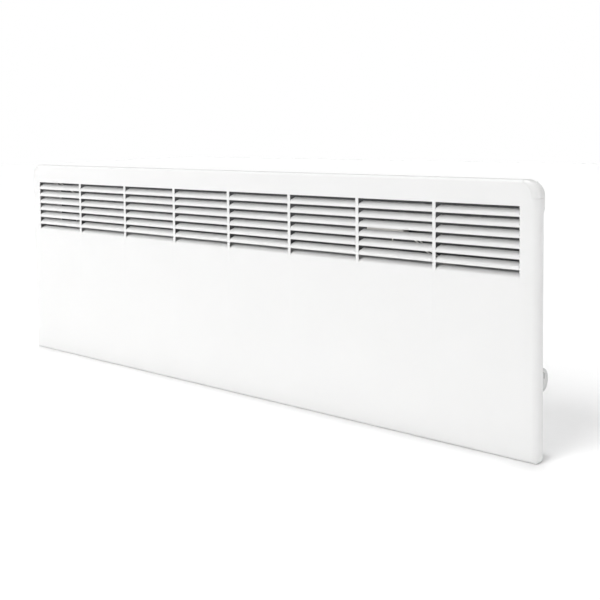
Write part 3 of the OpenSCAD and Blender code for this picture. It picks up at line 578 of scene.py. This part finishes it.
pointer.prism(rounded(CONTROLS_Y - 0.7, KNOB_Z + 2.5, CONTROLS_Y + 0.7, KNOB_Z + 10.3, 0.68),
              "x", KNOB_FACE - 0.3, KNOB_FACE)
piece("knob_dial", knob, "knob", "knob_plastic", ["thermostat_knob"], facing=(1, 0, 0))
piece("knob_grip", grip, "knob", "knob_plastic", facing=(1, 0, 0))
piece("knob_pointer", pointer, "knob", "dark_plastic", facing=(1, 0, 0))

ticks = Form()
for middle in (0, 180):
    for turn in range(-36, 37, 12):
        angle = math.radians(middle + turn)
        across_y, across_z = math.cos(angle) * TICK_HALF, -math.sin(angle) * TICK_HALF
        (y0, z0), (y1, z1) = [(CONTROLS_Y + r * math.sin(angle), KNOB_Z + r * math.cos(angle))
                              for r in (TICK_FROM, TICK_TO if turn % 36 else LONG_TICK_TO)]
        ticks.prism([(y0 - across_y, z0 - across_z), (y0 + across_y, z0 + across_z),
                     (y1 + across_y, z1 + across_z), (y1 - across_y, z1 - across_z)],
                    "x", TRAY - 0.05, TRAY + 0.12)
piece("dial_ticks", ticks, "heater", "dark_plastic", facing=(1, 0, 0))

# Each row is the distance out from the tray's side, half width, half height and corner radius.
bezel = Form()
bezel.skin([side_outline(TRAY + out, SWITCH_Z, *size) for out, *size in (
    (-20.7, 6.3, 10.8, 0.6), (0, 6.3, 10.8, 0.6), (0, 7.8, 12.8, 1.6), (1.2, 7.8, 12.8, 1.6),
    (1.65, 7.6, 12.6, 1.5), (1.8, 7.2, 12.2, 1.3), (1.8, 6.0, 10.5, 0.7), (1.4, 5.5, 10.0, 0.5),
    (-14.0, 5.5, 10.0, 0.5))])
for lift in (-6, 6):
    tab_low, tab_high = SWITCH_Z + lift - 0.4, SWITCH_Z + lift + 0.4
    tab = [(TRAY - 28.7, tab_low), (TRAY - 20.2, tab_low), (TRAY - 20.2, tab_high), (TRAY - 28.7, tab_high)]
    bezel.prism(tab, "y", CONTROLS_Y - 3, CONTROLS_Y + 3)
piece("switch_bezel", bezel, "heater", "dark_plastic", ["switch_frame"], facing=(1, 0, 0), soften=25)

ROCK_X, ROCK_R, ROCK_HALF, PIN_R, PIN_HALF = TRAY - 1.0, 9.9, 5.2, 1.5, 6.2
TILT = math.radians(-8)
half_face = [(4.2, 8.95), (3.75, 7), (3.2, 4.6), (2.85, 2.2)]
face_line = [(x, -z) for x, z in half_face] + [(2.6, 0)] + half_face[::-1]
back_line = arc(0, 0, ROCK_R, 66, 127, 8)[1:] + arc(0, 0, ROCK_R, 233, 294, 8)[:-1]
tilted = [(ROCK_X + x * math.cos(TILT) - z * math.sin(TILT),
           SWITCH_Z + x * math.sin(TILT) + z * math.cos(TILT)) for x, z in face_line + back_line]
rocker = Form()
rocker.prism(tilted, "y", CONTROLS_Y - ROCK_HALF, CONTROLS_Y + ROCK_HALF)
rocker.turned([(-PIN_HALF, PIN_R), (PIN_HALF, PIN_R)], (ROCK_X, CONTROLS_Y, SWITCH_Z), "y", 24)
piece("rocker_cap", rocker, "rocker", "rocker_plastic", ["switch_rocker"], facing=(0, 1, 0), soften=20,
      bevel=0.3)

# ---------------------------------------------------------------- back of the casing
GLAND = (TRAY - 35.5, 0, 88)
HEX_FROM = 8                            # everything wider than this radius is hexagonal
GROOVED_FROM, GROOVED_TO, GROOVED_OVER, GROOVE_DEPTH = 57.2, 63.2, 6.4, 0.5


def hex_or_grooved(along, radius, angle):
    """The gland's collar is a hexagon, and its cap has twelve grooves."""
    if radius > HEX_FROM:
        return radius * math.cos(math.pi / 6) / math.cos((angle % (math.pi / 3)) - math.pi / 6)
    if GROOVED_FROM < along < GROOVED_TO and radius > GROOVED_OVER:
        return radius - GROOVE_DEPTH * (0.5 + 0.5 * math.cos(12 * angle)) ** 3
    return radius


gland_section = [(41, 4.0), (41, 5.7), (41.4, 6.0), (53, 6.0), (53, 8.6), (53.3, 9.0), (56.6, 9.0),
                 (57.0, 8.6), (57.0, 6.9), (57.6, 7.0), (62.6, 7.0), (63.6, 6.7), (64.5, 6.1), (65.0, 5.2),
                 (65.0, 4.4), (64.6, 4.05), (41, 4.0)]
gland = Form()
gland.turned(gland_section, GLAND, "y", 72, hex_or_grooved, capped=False)
piece("gland_body", gland, "heater", SLOT_OF["cable_gland"], ["cable_gland"], facing=(0, 1, 0), soften=28)

TRAY_BACK = 53.0
BEAD_HALF, BEAD_RISE, BEAD_ROWS = 6.0, 1.2, (150, 215, 300)
BEAD_SPANS = ((-225, 225), (-470, -312), (312, 470))


def pressed_bead(form, x0, x1, z):
    """A long rib pushed out of the sheet, with ends as round as it is wide."""
    rings = []
    for share in (1.0, 0.86, 0.62, 0.3, 0.08):
        y = TRAY_BACK - 0.02 + BEAD_RISE * (1 - share ** 2.4)
        half, end = BEAD_HALF * share, BEAD_HALF * (1 - share)
        outline = rounded(x0 + end, z - half, x1 - end, z + half, half * 0.999, 8)
        rings.append([(u, y, v) for u, v in outline])
    form.skin(rings, cap_start=False)


beads = Form()
for x0, x1 in BEAD_SPANS:
    for z in BEAD_ROWS:
        pressed_bead(beads, x0, x1, z)
piece("tray_beads", beads, "heater", "tray_steel", facing=(0, 1, 0), soften=50)

LATCH_X, LATCH_BACK, LATCH_Z = 268, 59.9, 355
GRIP_RIBS, GRIP_PITCH, GRIP_R = 5, 3.6, 0.9
for side, word in ((-1, "left"), (1, "right")):
    ribs = Form()
    for rib in range(GRIP_RIBS):
        section = arc(LATCH_BACK, LATCH_Z + GRIP_PITCH * rib, GRIP_R, -90, 90, 6)
        ribs.prism(section, "x", side * LATCH_X - 3.6, side * LATCH_X + 3.6)
    piece("latch_ribs_" + word, ribs, "latch_" + word, "latch_plastic", facing=(0, 1, 0), soften=50)

# ---------------------------------------------------------------- CAD nodes that stay
# How wide their eased edges are, in millimetres. The others keep the CAD's own edges.
EDGES = {
    "rear_tray": 0.25, "casing_screws": 0.45, "bracket_upright_left": 0.3, "bracket_upright_right": 0.3,
    "bracket_rail_upper": 0.3, "bracket_rail_lower": 0.3, "latch_lever_left": 0.8, "latch_lever_right": 0.8,
    "intake_grille": 0.15, "overheat_limiter": 0.4, "bracket_pads": 0.6, "bracket_rivets": 0.5,
    "indicator_lens": 0.3, "thermostat_shaft": 0.3, "control_housing": 0.5, "control_cover": 0.4,
    "latch_cam_left": 0.4, "latch_cam_right": 0.4, "terminal_block": 0.4, "thermostat_body": 0.4,
    "gland_nut": 0.4,
}
for name, node in nodes.items():
    if not node.hide_render:
        dress(name, EDGES.get(name, 0.0))

# ---------------------------------------------------------------- stage
FLOOR_HALF, FLOOR_Z = 9000, -0.05
WORLD_GLOW = 0.12
floor_form = Form()
floor_form.face(*[(x * FLOOR_HALF, y * FLOOR_HALF, FLOOR_Z)
                  for x, y in ((-1, -1), (1, -1), (1, 1), (-1, 1))])
floor = placed("floor", mesh_from("floor", floor_form))
paper = Look("floor_paper")
paper.set(Base_Color=paper.tones(paper.noise(60, 3), 0.3, 0.7, rgba((0.955, 0.955, 0.955)),
                                 rgba((0.965, 0.965, 0.965))), Roughness=0.9)
floor.data.materials.append(paper.material)

# The camera sees pure white behind the floor, while the pieces are lit by a faint glow.
world = bpy.data.worlds.new("studio")
scene.world = world
world.use_nodes = True
tree = world.node_tree
glow = tree.nodes["Background"]
backdrop = tree.nodes.new("ShaderNodeBackground")
for background in (glow, backdrop):
    background.inputs["Color"].default_value = (1, 1, 1, 1)
glow.inputs["Strength"].default_value = WORLD_GLOW
seen, blend = tree.nodes.new("ShaderNodeLightPath"), tree.nodes.new("ShaderNodeMixShader")
tree.links.new(seen.outputs["Is Camera Ray"], blend.inputs[0])
tree.links.new(glow.outputs[0], blend.inputs[1])
tree.links.new(backdrop.outputs[0], blend.inputs[2])
tree.links.new(blend.outputs[0], tree.nodes["World Output"].inputs["Surface"])
scene.view_settings.view_transform = "Standard"


def sun(name, towards, power, size):
    """It shines from the direction towards, and looks size degrees wide."""
    data = bpy.data.lights.new(name, "SUN")
    data.energy, data.angle = power, math.radians(size)
    placed(name, data).rotation_euler = Vector(towards).to_track_quat("Z", "Y").to_euler()


def softbox(name, place, target, power, size):
    """A round lamp that stands at place and points at target, with lengths in metres."""
    data = bpy.data.lights.new(name, "AREA")
    data.energy, data.shape, data.size = power, "DISK", size
    obj = placed(name, data)
    obj.location = place
    obj.rotation_euler = (Vector(target) - Vector(place)).to_track_quat("-Z", "Y").to_euler()
    obj.visible_camera = False


sun("overhead", (0.0, 0.0, 1), 0.32, 42)
sun("top_back", (-0.05, 0.09, 1), 1.5, 12)
sun("front_top", (-0.3, -1, 1.25), 1.3, 30)
sun("front_low", (-0.35, -1, 0.12), 0.85, 16)
softbox("softbox", (-2.1, -1.5, 0.7), (-0.3, 0, 0), 13, 1.0)
sun("fill", (1, 0.1, 0.12), 1.3, 20)

CAMERA_PLACE = (1011, -1108, 463)
YAW, TILT_DOWN, ROLL = 37.54, 3.1, -0.58        # degrees
LENS, SHIFT_X, SHIFT_Y = 51.95, -0.0012, -0.21
camera_data = bpy.data.cameras.new("camera")
camera = placed("camera", camera_data)
camera_data.sensor_width, camera_data.lens = 36.0, LENS
camera_data.shift_x, camera_data.shift_y = SHIFT_X, SHIFT_Y
camera_data.clip_start, camera_data.clip_end = 0.05, 60.0
turned = (Matrix.Rotation(math.radians(YAW), 3, "Z") @ Matrix.Rotation(math.radians(90 - TILT_DOWN), 3, "X")
          @ Matrix.Rotation(math.radians(ROLL), 3, "Z"))
camera.rotation_euler = turned.to_euler()
camera.location = metres(CAMERA_PLACE)
scene.camera = camera
